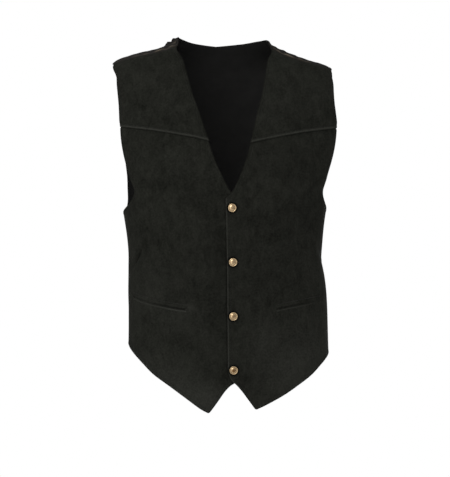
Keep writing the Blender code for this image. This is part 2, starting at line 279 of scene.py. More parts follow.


# paler and darker marks of the suede: wear and painted highlights paler, painted shade darker; the rubs table's
# patches, painted highlights on the ridges of creases and painted shade in their bottoms are added
def suedeMarks(points, wornAndHighlight, paintedShade):
    rubAndShade, crease = foldRise(points, rubsAndShade), foldRise(points, creases)
    wornAndHighlight = wornAndHighlight + np.clip(rubAndShade, 0, 1) + 0.3 * np.clip(crease - 0.4, 0, 1)
    return {"wornAndHighlight": wornAndHighlight, "paintedShade": paintedShade + np.clip(-rubAndShade, 0, 1) + np.clip(-0.45 * crease - 0.1, 0, 0.8)}


print("form ready")


# a new object in the scene
def addObject(name, data):
    made = bpy.data.objects.new(name, data)
    bpy.context.collection.objects.link(made)
    return made


# a mesh of quads and fans of triangles, riding on the one body
def addMesh(name, points, faces, materials, index=None, uv=None, marks=None, fans=np.zeros((0, 3), int)):
    mesh = bpy.data.meshes.new(name)
    mesh.from_pydata((points * mm).tolist(), [], faces.tolist() + fans.tolist())
    for material in materials:
        mesh.materials.append(material)
    if index is not None:
        mesh.polygons.foreach_set("material_index", np.asarray(index, np.int32))
    mesh.polygons.foreach_set("use_smooth", np.ones(len(faces) + len(fans), bool))
    if uv is not None:
        layer = mesh.uv_layers.new(name="cut")
        layer.data.foreach_set("uv", (uv * mm)[faces.ravel()].ravel().astype(np.float32))
    for key, mark in (marks or {}).items():
        mesh.attributes.new(key, "FLOAT", "POINT").data.foreach_set("value", mark.astype(np.float32))
    mesh.update()
    piece = addObject(name, mesh)
    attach(piece, "root")
    return piece


# quads between neighbouring rows and columns
def gridFaces(rows, columns, first=0):
    i = first + np.arange(rows * columns).reshape(rows, columns)
    return np.stack([i[:-1, :-1], i[:-1, 1:], i[1:, 1:], i[1:, :-1]], -1).reshape(-1, 4)


# vertex numbers round the rim of a grid, anticlockwise seen from outside
def rimLoop(rows, columns):
    i = np.arange(rows * columns).reshape(rows, columns)
    return np.concatenate([i[0, :-1], i[:-1, -1], i[-1, :0:-1], i[:0:-1, 0]])


# closed wall: the sheet raised by outer and by inner, joined by a half-round rim;
# where there are two materials the second is the inner face's
def clothWall(name, sheet, inner, outer, materials, marks, rimSteps=5):
    rows, columns = sheet.shape[:2]
    count = rows * columns
    loop = rimLoop(rows, columns)
    flat, normal = sheet.reshape(-1, 3).copy(), formNormal(sheet).reshape(-1, 3)
    ahead = np.roll(flat[loop], -1, 0) - np.roll(flat[loop], 1, 0)
    outward = unit(np.cross(ahead, normal[loop]))
    half = 0.5 * (outer - inner).reshape(-1)[loop]
    flat[loop] -= half[:, None] * outward
    top = flat + outer.reshape(-1, 1) * normal
    under = flat + inner.reshape(-1, 1) * normal
    angle = np.linspace(0, np.pi, rimSteps + 1)[1:-1, None, None]
    rim = 0.5 * (top + under)[loop] + half[:, None] * (np.cos(angle) * normal[loop] + np.sin(angle) * outward)
    points = np.concatenate([top, under, rim.reshape(-1, 3)])
    between = 2 * count + np.arange((rimSteps - 1) * len(loop)).reshape(rimSteps - 1, -1)
    loops = [loop, *between, count + loop]
    rimFaces = [np.stack([a, b, np.roll(b, -1), np.roll(a, -1)], -1) for a, b in zip(loops, loops[1:])]
    topFaces, underFaces = gridFaces(rows, columns), gridFaces(rows, columns, count)[:, ::-1]
    faces = np.concatenate([topFaces, underFaces] + rimFaces)
    index = np.zeros(len(faces))
    index[len(topFaces):2 * len(topFaces)] = len(materials) - 1
    across = np.cumsum(np.linalg.norm(np.diff(sheet, axis=1, prepend=sheet[:, :1]), axis=-1), axis=1)
    upward = np.cumsum(np.linalg.norm(np.diff(sheet, axis=0, prepend=sheet[:1]), axis=-1), axis=0)
    place = np.arange(count)
    source = np.concatenate([place, place, np.tile(loop, rimSteps - 1)])  # each point's place in the sheet
    uv = np.stack([across, upward], -1).reshape(-1, 2)[source]
    marks = {key: mark.reshape(-1)[source] for key, mark in marks.items()}
    return addMesh(name, points, faces, materials, index, uv, marks)


# a node's sockets by name or number: linked to an output, or set where the value is the same all over
def feedNode(tree, node, sockets):
    for key, value in sockets.items():
        if isinstance(value, bpy.types.NodeSocket):
            tree.links.new(value, node.inputs[key])
        else:
            node.inputs[key].default_value = value


# a new node, its sockets fed and its settings set by name
def addNode(tree, kind, **settings):
    node = tree.nodes.new("ShaderNode" + kind)
    for key, value in settings.items():
        if key in node.inputs:
            feedNode(tree, node, {key: value})
        else:
            setattr(node, key, value)
    return node


# a new material, its tree and its shader
def newFinish(name):
    material = bpy.data.materials.new(name)
    material.use_nodes = True
    return material, material.node_tree, material.node_tree.nodes["Principled BSDF"]


# a mark kept at the points of a piece
def ownMark(tree, name):
    return addNode(tree, "Attribute", attribute_name=name).outputs["Fac"]


# noise on Object coordinates, sized in features per metre
def objectNoise(tree, scale, detail=2.0, rough=0.5, stretch=(1, 1, 1), turn=(0, 0, 0), warp=0.0):
    place = addNode(tree, "TexCoord").outputs["Object"]
    place = addNode(tree, "Mapping", Vector=place, Scale=stretch, Rotation=turn).outputs["Vector"]
    noise = addNode(tree, "TexNoise", Vector=place, Scale=scale, Detail=detail, Roughness=rough,
                    Distortion=warp)
    return noise.outputs["Fac"]


# maps a value from one span to another
def remap(tree, value, low, high, toLow=0.0, toHigh=1.0):
    node = addNode(tree, "MapRange")
    feedNode(tree, node, {"Value": value, "From Min": low, "From Max": high, "To Min": toLow, "To Max": toHigh})
    return node.outputs["Result"]


# arithmetic on two values
def combine(tree, operation, first, second):
    node = addNode(tree, "Math", operation=operation)
    feedNode(tree, node, {0: first, 1: second})
    return node.outputs[0]


# the sum of values, each times its weight
def weighted(tree, parts):
    total = 0.0
    for value, weight in parts:
        total = combine(tree, "ADD", combine(tree, "MULTIPLY", value, weight), total)
    return total


# a colour mixed between two by a value; inputs 6 and 7 and output 2 are the node's colours
def mixColour(tree, factor, first, second):
    node = addNode(tree, "Mix", data_type="RGBA", Factor=factor)
    for number, colour in ((6, first), (7, second)):
        feedNode(tree, node, {number: (*colour, 1) if isinstance(colour, tuple) else colour})
    return node.outputs[2]


# relief from a value, on top of another relief if one is given
def addBump(tree, height, strength, distance, below=None):
    node = addNode(tree, "Bump", Height=height, Strength=strength, Distance=distance)
    if below is not None:
        feedNode(tree, node, {"Normal": below})
    return node.outputs["Normal"]


suede = {
    "dark": (0.0043, 0.0046, 0.0035),
    "light": (0.0242, 0.0249, 0.0205),
    # rubbed is the colour of rubbed nap and of painted highlights; deep is the colour of painted shade
    "rubbedAndHighlight": (0.0340, 0.0346, 0.0298),
    "deep": (0.0022, 0.0022, 0.0018),
    "patches": 20, "brush": 78, "grain": 290, "fibre": 1500,  # features a metre
    "shares": (0.24, 0.30, 0.38, 0.08),  # of these four in the tone
    "sheen": (0.78, 0.80, 0.70),
}


# patches of nap, brush marks, grain and fibres; paler where worn and where highlights are painted, darker where
# shade is painted
def makeSuede():
    material, tree, shader = newFinish("blackSuede")
    patches = remap(tree, objectNoise(tree, suede["patches"], 5, 0.62, warp=0.5), 0.34, 0.66)
    strokes = objectNoise(tree, suede["brush"], 4, 0.62, (1, 1, 0.62), (0.1, 0.3, 0), 0.7)
    brush = remap(tree, strokes, 0.35, 0.65)
    grain = remap(tree, objectNoise(tree, suede["grain"], 3, 0.6), 0.3, 0.7)
    fibre = remap(tree, objectNoise(tree, suede["fibre"], 2, 0.6, (1, 1, 0.55)), 0.3, 0.7)
    tone = weighted(tree, zip((patches, brush, grain, fibre), suede["shares"]))
    colour = mixColour(tree, tone, suede["dark"], suede["light"])
    # the worn mark holds wear and painted highlights, the shaded mark painted shade
    rubbedAndHighlight = combine(tree, "MULTIPLY", ownMark(tree, "wornAndHighlight"), remap(tree, grain, 0, 1, 0.6, 1.3))
    colour = mixColour(tree, rubbedAndHighlight, colour, suede["rubbedAndHighlight"])
    nap = weighted(tree, [(grain, 0.6), (fibre, 0.4)])
    feedNode(tree, shader, {
        "Base Color": mixColour(tree, ownMark(tree, "paintedShade"), colour, suede["deep"]),
        "Roughness": remap(tree, fibre, 0, 1, 0.88, 1.0),
        "Normal": addBump(tree, nap, 0.35, 0.0005, addBump(tree, brush, 0.10, 0.0006)),
        "Specular IOR Level": 0.03,
        "Sheen Weight": 0.02, "Sheen Roughness": 0.55, "Sheen Tint": (*suede["sheen"], 1),
    })
    return material


satin = {
    "dark": (0.0066, 0.0059, 0.0052),
    "light": (0.0140, 0.0121, 0.0101),
    # the crest colour paints brown glints
    "paintedGlint": (0.1300, 0.1060, 0.0760),
    "gloss": (1.0, 0.90, 0.78),
    "rough": (0.38, 0.52),
    "cloud": 34, "slack": 150, "ribs": 420, "slant": 27,  # features a metre, degrees
}


# fine slanting ribs on the cloth's own coordinates, with uneven gloss, and painted brown glints on the crests
# of rucks
def makeSatin():
    material, tree, shader = newFinish("blackSatin")
    cloud = remap(tree, objectNoise(tree, satin["cloud"], 4, 0.6), 0.32, 0.68)
    colour = mixColour(tree, cloud, satin["dark"], satin["light"])
    cut = addNode(tree, "UVMap", uv_map="cut").outputs["UV"]
    cut = addNode(tree, "Mapping", Vector=cut, Rotation=(0, 0, math.radians(satin["slant"]))).outputs["Vector"]
    ribs = addNode(tree, "TexWave", Vector=cut, Scale=satin["ribs"], Distortion=1.5, Detail=2)
    slack = addBump(tree, objectNoise(tree, satin["slack"], 3, 0.55), 0.22, 0.0008)
    feedNode(tree, shader, {
        "Base Color": mixColour(tree, ownMark(tree, "paintedGlint"), colour, satin["paintedGlint"]),
        "Roughness": remap(tree, cloud, 0, 1, *satin["rough"]),
        "Normal": addBump(tree, ribs.outputs["Fac"], 0.12, 0.0002, slack),
        "IOR": 1.23, "Specular Tint": (*satin["gloss"], 1),
    })
    return material


inside = {"dark": (0.0080, 0.0079, 0.0077), "light": (0.0150, 0.0145, 0.0137), "cloud": 55, "weave": 300}


# plain weave of the satin's wrong side
def makeInside():
    material, tree, shader = newFinish("satinReverse")
    cut = addNode(tree, "UVMap", uv_map="cut").outputs["UV"]
    weave = addNode(tree, "TexWave", Vector=cut, Scale=inside["weave"], Distortion=1.0,
                    bands_direction="DIAGONAL")
    cloud = objectNoise(tree, inside["cloud"], 3, 0.6)
    feedNode(tree, shader, {
        "Base Color": mixColour(tree, cloud, inside["dark"], inside["light"]),
        "Normal": addBump(tree, weave.outputs["Fac"], 0.2, 0.0003),
        "Roughness": 0.7, "Specular IOR Level": 0.12,
    })
    return material


thread = {"dark": (0.0050, 0.0050, 0.0048), "light": (0.0200, 0.0195, 0.0180), "twist": 2600}


# twisted thread: thin slanting noise
def makeThread():
    material, tree, shader = newFinish("blackThread")
    twist = objectNoise(tree, thread["twist"], 1, 0.5, (1, 1, 0.4), (0.5, 0.4, 0.3))
    feedNode(tree, shader, {
        "Base Color": mixColour(tree, twist, thread["dark"], thread["light"]),
        "Normal": addBump(tree, twist, 0.4, 0.0002),
        "Roughness": 0.6, "Specular IOR Level": 0.25,
    })
    return material


metal = {
    "bright": (0.90, 0.68, 0.41), "tarnish": (0.16, 0.080, 0.030), "rough": (0.36, 0.18),
    "blotch": 520, "scratch": 1800,  # features a metre
}


# bright where the relief stands out, tarnished in the hollows, darker at the middle of the caps where a dark
# reflection is painted, finely scratched
def makeMetal():
    material, tree, shader = newFinish("antiqueBrass")
    blotch = remap(tree, objectNoise(tree, metal["blotch"], 3, 0.6), 0.3, 0.7, -0.25, 0.25)
    blotched = combine(tree, "ADD", ownMark(tree, "raised"), blotch)
    bright = addNode(tree, "Clamp", Value=blotched).outputs["Result"]
    scratch = objectNoise(tree, metal["scratch"], 2, 0.5, (1, 1, 0.2), (0.3, 0.6, 0.2))
    feedNode(tree, shader, {
        "Base Color": mixColour(tree, bright, metal["tarnish"], metal["bright"]),
        "Roughness": remap(tree, bright, 0, 1, *metal["rough"]),
        "Normal": addBump(tree, scratch, 0.08, 0.0001),
        "Metallic": 1.0,
    })
    return material


suedeFinish = makeSuede()
satinFinish = makeSatin()
insideFinish = makeInside()
threadFinish = makeThread()
metalFinish = makeMetal()
print("finishes ready")

# thread: six sides, as an end is closed by two quads; its ends sink into the cloth, its middle stands proud of
# a path a little under the cloth's face
stitch = {
    "long": 2.5, "pitch": 3.3, "thick": 0.27, "sides": 6, "spans": 4, "sink": 0.5, "proud": 0.15, "under": 0.3,
}
stitchRows = []  # paths on the cloth's face, with the way out at each point


# keeps a path for sewing: a line on the form raised by lift, without its ends
def sewAlong(line, lift, skipStart=3.0, skipEnd=3.0):
    normal = formNormal(line)
    length = lineLength(line)
    shares = np.linspace(skipStart / length, 1 - skipEnd / length, len(line))
    stitchRows.append((cutLine(line, shares, line + lift[:, None] * normal), cutLine(line, shares, normal)))


# cut of one front: each edge as rows of turn and height, 1 for the left side and -1 for the right
front = {
    "edge": [(-5.6, -608), (-5.6, -291)],
    "neck": [(-5.6, -291), (0.5, -278), (4, -266), (7.7, -250), (14.2, -220)],
    "notch": {1: [(-5.6, -608), (-4.8, -616), (-2.2, -627), (2.4, -635), (7.5, -646), (14.2, -664),
                  (21.5, -686)],
              -1: [(-5.6, -608), (-5.2, -621), (-2.6, -631), (2.4, -637), (7.5, -646.5), (14.2, -663.5),
                   (23.3, -686)]},
    "hem": {1: [(21.5, -686), (30, -678), (38, -667), (46, -653), (54, -636.5), (62, -619.4), (70, -600),
                (78, -586.3), (86, -579), (93, -577), (100, -576)],
            -1: [(23.3, -686), (30, -678.3), (38, -666), (46, -652), (54, -636), (62, -619.8), (70, -601.6),
                 (78, -588), (86, -579.6), (93, -577), (100, -576)]},
    "side": [(100, -576), (100, -322)],
    "armhole": [(100, -322), (92, -319), (83, -312), (74.5, -299), (69.5, -280), (71.2, -255), (74, -222),
                (75.7, -185)],
    "yokeSeam": {1: [(18.6, -190), (31, -184), (43, -178), (60, -168.7), (76.1, -161)],
                 -1: [(19.1, -186.3), (31, -180), (43, -174.6), (60, -166), (76.1, -159)]},
    "slit": {1: [(37.4, -494.7), (44, -491), (52.6, -486.4), (61.3, -482.2), (73.2, -478)],
             -1: [(39.5, -496.6), (45.3, -495.2), (53.2, -492.3), (61.1, -488.9), (69.9, -484.4),
                  (78, -479.3)]},
    "snaps": [-308, -408, -508, -608],
    "wall": 2.0, "stitchAt": 6.0,
    "seamShift": -0.03,  # minus presses sewn edges shut
    "lapLift": 2.1, "lapEase": (5.0, 20.0),
    "lapClose": 1.0, "lapNotch": 45,  # the lap closes along its edge and this far down the notch
    "yokeLap": 8.0, "yokeTuck": 1.9,  # what lies under the yoke, and its start in from the neck
    "press": 0.8, "pressEase": (0.3, 9.0),  # sunk under the yoke's edge
    "flush": 0.75, "flushReach": 14.0, "flushEase": 5.5,  # more so beside the armhole
    "bed": {"deep": 0.8, "middle": -0.7, "half": (2.6, 4.6), "ends": (-3.5, -0.8)},  # hollow under the welt
    "near": (1.9, 2.7, 3.6, 4.5, 5.3, 6.0, 6.7, 7.6, 9.0, 11.0, 14.0),
    "notchSteps": 40, "hemSteps": 104, "sideSteps": 118, "armSteps": 86,
    "flat": (0.300, 0.545), "area": 0.121,
}


# roll of a turned edge with a stitched hollow behind it
def edgeRoll(distance, stitchAt, roll=0.35):
    return roll * bell(distance - 0.45 * stitchAt, 0.38 * stitchAt) - 0.45 * bell(distance - stitchAt, 0.9)


# painted shade along a turned edge
def edgeShade(distance):
    return 0.35 * bell(distance, 1.5)


# cloth drawn in along a sewn seam
def seamDip(distance, deep=0.8):
    return deep * bell(distance, 2.2)


# middle of a snap on the form, as one row
def snapPlace(height):
    return layOnForm(np.zeros(1), np.array([float(height)]))


# the left front is raised and the right one sunk at the lap, easing off to the sides
def lapLift(points, side):
    turn = np.degrees(turnOf(points)) * side
    return side * front["lapLift"] * easeOut(turn, *front["lapEase"])


# distance above the pocket slit, and along it from its middle less half its length
def slitPlace(points, side):
    line = layLine(front["slit"][side], side)
    away, number = nearestOn(points, line)
    above = np.where(points[..., 2] > line[number][..., 2], away, -away)
    ends = np.linalg.norm(points - line[len(line) // 2], axis=-1) - 0.5 * lineLength(line)
    return above, ends


# lower front: its four edges filled, lapped at the middle, pressed in under the yoke, puckered round the snaps;
# the upper lap closes on the under one along its edge
def makeFront(side, name, node):
    hidden = np.array(front["yokeSeam"][side]) + (0, front["yokeLap"])  # top edge, under the yoke
    hidden[0, 0] += front["yokeTuck"]
    notch, hem = layLine(front["notch"][side], side), layLine(front["hem"][side], side, -front["seamShift"])
    sideSeam, edge = layLine(front["side"], side, -front["seamShift"]), layLine(front["edge"], side)
    top = layLine(hidden, side)
    neck = layLine(np.vstack([front["neck"], hidden[:1]]), side)
    armhole = layLine(np.vstack([front["armhole"], hidden[-1:]]), side)
    low, middle = softenLine(joinLines(notch, hem), 5), softenLine(joinLines(edge, neck), 4)
    share = lineLength(notch) / (lineLength(notch) + lineLength(hem))
    near = front["near"]
    notchShares = crowdedShares(notch, front["notchSteps"], near)
    hemShares = crowdedShares(hem, front["hemSteps"], (), near)
    across = np.concatenate([notchShares * share, share + (1 - share) * hemShares[1:]])
    upward = crowdedShares(middle, front["sideSteps"] + front["armSteps"], near)
    sideLine = joinLines(cutLine(sideSeam, crowdedShares(sideSeam, front["sideSteps"], near)),
                         cutLine(armhole, np.linspace(0, 1, front["armSteps"] + 1)))
    sheet = fillEdges(cutLine(low, across), cutLine(top, across), cutLine(middle, upward), sideLine,
                      across, upward)[:, ::side]
    toFree, toSide = lineDistance(sheet, low, middle, armhole), lineDistance(sheet, sideSeam)
    seam = layLine(front["yokeSeam"][side], side)
    toSeam, number = nearestOn(sheet, seam)
    below = np.where(sheet[..., 2] < seam[number][..., 2], toSeam, -toSeam)
    lapNotch = layLine(front["notch"][1], 1)[front["lapNotch"]::-1]
    toLap = lineDistance(sheet, joinLines(lapNotch, layLine(front["edge"], 1)))
    nearArm = bell(lineDistance(sheet, armhole), front["flushReach"])
    full, none = front["pressEase"]
    press = front["press"] + front["flush"] * nearArm
    press = press * easeOut(below, full, none - front["flushEase"] * nearArm)
    base = lapLift(sheet, side) + suedeRise(sheet) - press
    if side > 0:
        base -= front["lapClose"] * bell(toLap, 5.0)
    above, ends = slitPlace(sheet, side)
    bed = front["bed"]
    hollow = bed["deep"] * easeOut(np.abs(above - bed["middle"]), *bed["half"]) * easeOut(ends, *bed["ends"])
    outer = base + front["wall"] + edgeRoll(toFree, front["stitchAt"]) - seamDip(toSide) - hollow
    # painted shade along the cut edges, and a faint painted shadow just under the yoke's edge
    paintedShade = edgeShade(toFree) + 0.1 * bell(below - 0.9, 1.3)
    if side > 0:
        # painted highlight along the upper lap's rolled edge, where it catches the light, and no painted edge
        # shade beside it
        wornAndHighlight = 0.85 * bell(toLap - 1.0, 1.3)
        paintedShade *= 1 - bell(toLap, 4.0)
        for height in front["snaps"]:  # a low ring round each cap and the cloth sunk beneath it, with a painted shadow ring just outside the cap
            away = np.linalg.norm(sheet - snapPlace(height), axis=-1)
            outer += 0.4 * bell(away - 10.5, 2.2) - 0.25 * bell(away, 7.0)
            paintedShade += bell(away - 8.8, 2.0)
    else:  # painted shadow beside the upper lap's edge, most where it stands off
        wornAndHighlight = np.zeros(toLap.shape)
        paintedShade += (0.2 + 0.35 * easeOut(sheet[..., 2], -430, -350)) * bell(toLap - 0.9, 1.3)
    piece = clothWall(name, sheet, base, outer, [suedeFinish], suedeMarks(sheet, wornAndHighlight, paintedShade))
    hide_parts(node)
    for line, hand, skipStart, skipEnd in ((notch, side, 9, 8), (hem, side, 8, 4), (armhole, side, 4, 10),
                                           (middle, -side, 8, 10)):
        path = insetLine(line, front["stitchAt"], hand)
        lift = lapLift(path, side) + suedeRise(path) + front["wall"] - stitch["under"]
        sewAlong(path, lift, skipStart, skipEnd)


makeFront(-1, "frontRight", "front_right")
makeFront(1, "frontLeft", "front_left")
print("lower fronts made")

# shoulder yoke, lapped over the front at its lower edge
yoke = {
    "shoulder": {1: [(66.5, -11), (68, -19), (72, -27), (76, -33.5), (79.5, -41), (82.8, -48.5)],
                 -1: [(66.5, -11), (68.3, -18.5), (72, -25), (77.5, -31), (82, -38.5), (85.5, -47.5)]},
    "neck": [(23.5, -162), (28.7, -132), (35.2, -103), (41.5, -73), (52, -35), (66.5, -11)],
    "armhole": {1: [(76.4, -115), (77.8, -88), (80.4, -65), (82.8, -48.5)],
                -1: [(77.7, -115), (79.3, -88), (81.5, -65), (85.5, -47.5)]},
    "lift": 1.35, "ease": (9.0, 24.0), "pared": 1.0,
    "near": (1.9, 2.6, 3.3, 4.0, 4.7, 5.4, 6.0, 6.6, 7.3, 8.2, 9.6, 11.5, 14.5),
    "columns": 84, "rows": 92, "flat": (0.180, 0.195), "area": 0.0235,
}


# how far the yoke stands off the form near its lower edge, less beside the armhole
def yokeLift(points, seam, armhole):
    lift = yoke["lift"] - front["flush"] * bell(lineDistance(points, armhole), front["flushReach"])
    return lift * easeOut(lineDistance(points, seam), *yoke["ease"])


# yoke: its four edges filled, puffed between its lower edge and the stitching, pared beside the armhole
# so that the seam's end lies flat
def makeYoke(side, name, node):
    lower = front["yokeSeam"][side]
    seam, shoulder = layLine(lower, side), layLine(yoke["shoulder"][side], side, -front["seamShift"])
    neck, armhole = layLine(lower[:1] + yoke["neck"], side), layLine(lower[-1:] + yoke["armhole"][side], side)
    near, free = yoke["near"], yoke["near"][:10]  # fewer close rows away from the lapped edge
    across = crowdedShares(seam, yoke["columns"], free, free)
    upward = crowdedShares(neck, yoke["rows"], near, free)
    armShares = crowdedShares(armhole, yoke["rows"], near, free)
    sheet = fillEdges(cutLine(seam, across), cutLine(shoulder, across), cutLine(neck, upward),
                      cutLine(armhole, armShares), across, upward)[:, ::side]
    toSeam, toShoulder = lineDistance(sheet, seam), lineDistance(sheet, shoulder)
    toFree = lineDistance(sheet, neck, armhole)
    nearArm = bell(lineDistance(sheet, armhole), front["flushReach"])
    base = yokeLift(sheet, seam, armhole) + suedeRise(sheet)
    puff = (0.7 - 0.5 * nearArm) * bell(toSeam - 2.4, 2.2) - 0.5 * bell(toSeam - front["stitchAt"], 1.0)
    roll = edgeRoll(toFree, front["stitchAt"]) * (1 - bell(toSeam, 5.0))
    wall = front["wall"] - yoke["pared"] * nearArm * bell(toSeam, 8.0)
    outer = base + wall + puff + roll - seamDip(toShoulder)
    # painted highlight on the puffed ridge above the lower edge, painted shade along the cut edges
    marks = suedeMarks(sheet, 0.9 * bell(toSeam - 2.2, 1.9), edgeShade(toFree))
    piece = clothWall(name, sheet, base, outer, [suedeFinish], marks)
    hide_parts(node)
    for line, hand, under, skips in ((seam, side, 0.5, (4, 4)), (armhole, side, stitch["under"], (9, 6)),
                                     (neck, -side, stitch["under"], (9, 6))):
        path = insetLine(line, front["stitchAt"], hand)
        lift = yokeLift(path, seam, armhole) + suedeRise(path) + front["wall"] - under
        sewAlong(path, lift, *skips)
    return piece


yokeRight = makeYoke(-1, "yokeRight", "front_right_yoke")
yokeLeft = makeYoke(1, "yokeLeft", "front_left_yoke")
print("yokes made")

# satin back: one panel carried forward over the shoulders, crumpled along the shoulder seams
back = {
    "armhole": [(100, -322), (104.5, -305), (108, -270), (110, -220), (110.5, -165), (109, -115)],
    "tip": {1: [(104.5, -80), (97.5, -55), (90, -43.5), (82.8, -48.5)],
            -1: [(106.5, -78), (103, -56), (95, -44), (85.5, -47.5)]},
    "neck": [(66.5, -11), (76, 1), (90, 8), (115, 8), (145, 3), (180, -2)],
    "hem": [(100, -576), (140, -584), (180, -588)],
    "wall": 1.2, "stitchAt": 5.0, "slack": (0.45, 46), "ruck": (1.5, 17),  # size and reach of its unevenness
    "halfSteps": 78, "sideSteps": 78, "armSteps": 74, "shoulderSteps": 48,
    "near": (1.5, 2.3, 3.1, 4.0, 4.9, 5.8, 7.2, 9.4, 12.0),
    "flat": (0.520, 0.640), "area": 0.262,
}
# its creases, columns as in folds
backCreases = {
    "turn": [180, 166, 196, 152, 209, 138, 224, 122, 240, 173, 190, 160, 118, 243],
    "height": [-500, -470, -455, -330, -345, -520, -505, -470, -450, -250, -215, -560, -270, -280],
    "lean": [3, 14, -12, 38, -40, 30, -26, 20, -24, 60, -64, 10, 30, -34],
    "long": [80, 60, 66, 60, 54, 44, 52, 50, 46, 40, 36, 40, 50, 46],
    "wide": [9, 7, 8, 9, 8, 7, 8, 8, 9, 10, 9, 10, 10, 9],
    "rise": [1.6, -1.4, -1.5, 1.3, 1.2, -1.2, -1.3, 1.2, 1.3, 0.9, -0.8, 1.0, -1.2, -1.2],
}
# small rucks of the satin at the shoulders
rucks = {
    "turn": [-89, -90, -90, -87, -89, -80, 84, 88, 80, 90],
    "height": [3, -3.6, -9.5, -21, -33, -26, -10, -20, -30, -37],
    "lean": [74, 66, 66, 72, 60, 50, -66, -60, -70, -56],
    "long": [8, 7, 9, 14, 12, 12, 12, 14, 12, 10],
    "wide": [2.1, 1.7, 2.4, 3.2, 3.0, 2.8, 3.0, 3.2, 3.0, 2.8],
    "rise": [5.2, 5.6, -2.2, 1.9, 1.0, -1.0, 0.3, -0.4, -1.0, -2.2],
}
# painted brown glints on their crests
paintedGlints = {
    "turn": [-77.9, -74.7, -72.4, -73.4, -78.5, 71.0, 72.1, 73.5, 74.5, 77.8],
    "height": [-22.4, -18.0, -13.8, -8.8, -1.5, -17.8, -20.6, -23.9, -26.4, -35.0],
    "lean": [60, 60, 64, 70, 74, -60, -60, -62, -60, -57],
    "long": [3.6, 3.0, 2.6, 3.0, 3.4, 3.0, 2.6, 2.4, 2.6, 3.2],
    "wide": [2.2, 2.4, 2.2, 2.2, 2.0, 2.2, 2.2, 2.4, 2.4, 2.0],
    "rise": [0.8, 1.0, 1.0, 0.9, 0.6, 0.6, 0.75, 1.1, 1.05, 0.4],
}


# height of the satin over the form: folds, creases, rucks and two kinds of unevenness
def satinRise(points):
    return (foldRise(points, folds) + foldRise(points, backCreases) + foldRise(points, rucks)
            + wander(points, *uneven) + wander(points, *back["slack"]))


# back: hem, neck and two upright edges filled, each of these a side seam, an armhole and a shoulder seam;
# puckered along the side seams, rucked along the shoulders
def makeBack():
    shift, near = front["seamShift"], back["near"]
    sideLines, shoulders, sideSeams, armholes = [], [], [], []
    for side in (1, -1):
        shoulders.append(layLine(yoke["shoulder"][side][::-1], side, shift))
        sideSeams.append(layLine(front["side"], side, shift))
        armholes.append(layLine(back["armhole"] + back["tip"][side], side, shift))
        sideLines.append(joinLines(
            cutLine(sideSeams[-1], crowdedShares(sideSeams[-1], back["sideSteps"], near)),
            cutLine(armholes[-1], np.linspace(0, 1, back["armSteps"] + 1)),
            cutLine(shoulders[-1], crowdedShares(shoulders[-1], back["shoulderSteps"], (), near))))
    hems = [layLine(back["hem"], side) for side in (1, -1)]
    necks = [layLine(back["neck"], side) for side in (1, -1)]
    hemShares = crowdedShares(hems[0], back["halfSteps"], near)
    neckShares = crowdedShares(necks[0], back["halfSteps"], near)
    hem = joinLines(cutLine(hems[0], hemShares), cutLine(hems[1], hemShares)[::-1])
    neck = joinLines(cutLine(necks[0], neckShares), cutLine(necks[1], neckShares)[::-1])
    hem[0], hem[-1], neck[0], neck[-1] = sideLines[0][0], sideLines[1][0], sideLines[0][-1], sideLines[1][-1]
    across = 0.5 * np.concatenate([hemShares, 2 - hemShares[-2::-1]])
    upward = np.linspace(0, 1, len(sideLines[0]))
    sheet = fillEdges(hem, neck, *sideLines, across, upward)
    toShoulder, toSide = lineDistance(sheet, *shoulders), lineDistance(sheet, *sideSeams)
    toNeck, toSewn = lineDistance(sheet, *necks), np.minimum(toShoulder, toSide)
    toFree = np.minimum(toNeck, lineDistance(sheet, *armholes, *hems))
    crumple = easeOut(toShoulder, 8, 60) * (1 - bell(toShoulder, 3.0)) * (0.35 + 0.65 * easeOut(toNeck, 20, 90))
    ruck = crumple * wander(sheet * np.array([1, 0.55, 1]), *back["ruck"])
    height = sheet[..., 2]
    pucker = 0.3 * bell(toSide - 5, 6.0) * np.sin(2 * np.pi * (height + 3 * np.sin(height / 17)) / 12.5)
    base = satinRise(sheet) + ruck + pucker * (1 - bell(toSide, 3.0))
    base -= bell(toSewn, 6.0) * wander(sheet, *back["slack"])  # level with the suede at the seams
    outer = base + back["wall"] + edgeRoll(toFree, back["stitchAt"], 0.25) - seamDip(toSewn, 0.6)
    # painted glints at the listed places and on the rucks near the shoulders, none right at the seam
    paintedGlint = np.clip(foldRise(sheet, paintedGlints) + 0.3 * easeOut(toShoulder, 6, 18) * ruck, 0, 1)
    paintedGlint = paintedGlint * (1 - bell(toShoulder, 2.5))
    piece = clothWall("satinBack", sheet, base, outer, [satinFinish, insideFinish], {"paintedGlint": paintedGlint})
    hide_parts("back")
    wholeHem, wholeNeck = joinLines(hems[0], hems[1][::-1]), joinLines(necks[0], necks[1][::-1])
    for line, hand in ((armholes[0], -1), (armholes[1], 1), (wholeHem, 1), (wholeNeck, -1)):
        path = insetLine(line, back["stitchAt"], hand)
        sewAlong(path, satinRise(path) + back["wall"] - stitch["under"], 9, 9)


makeBack()
print("back made")

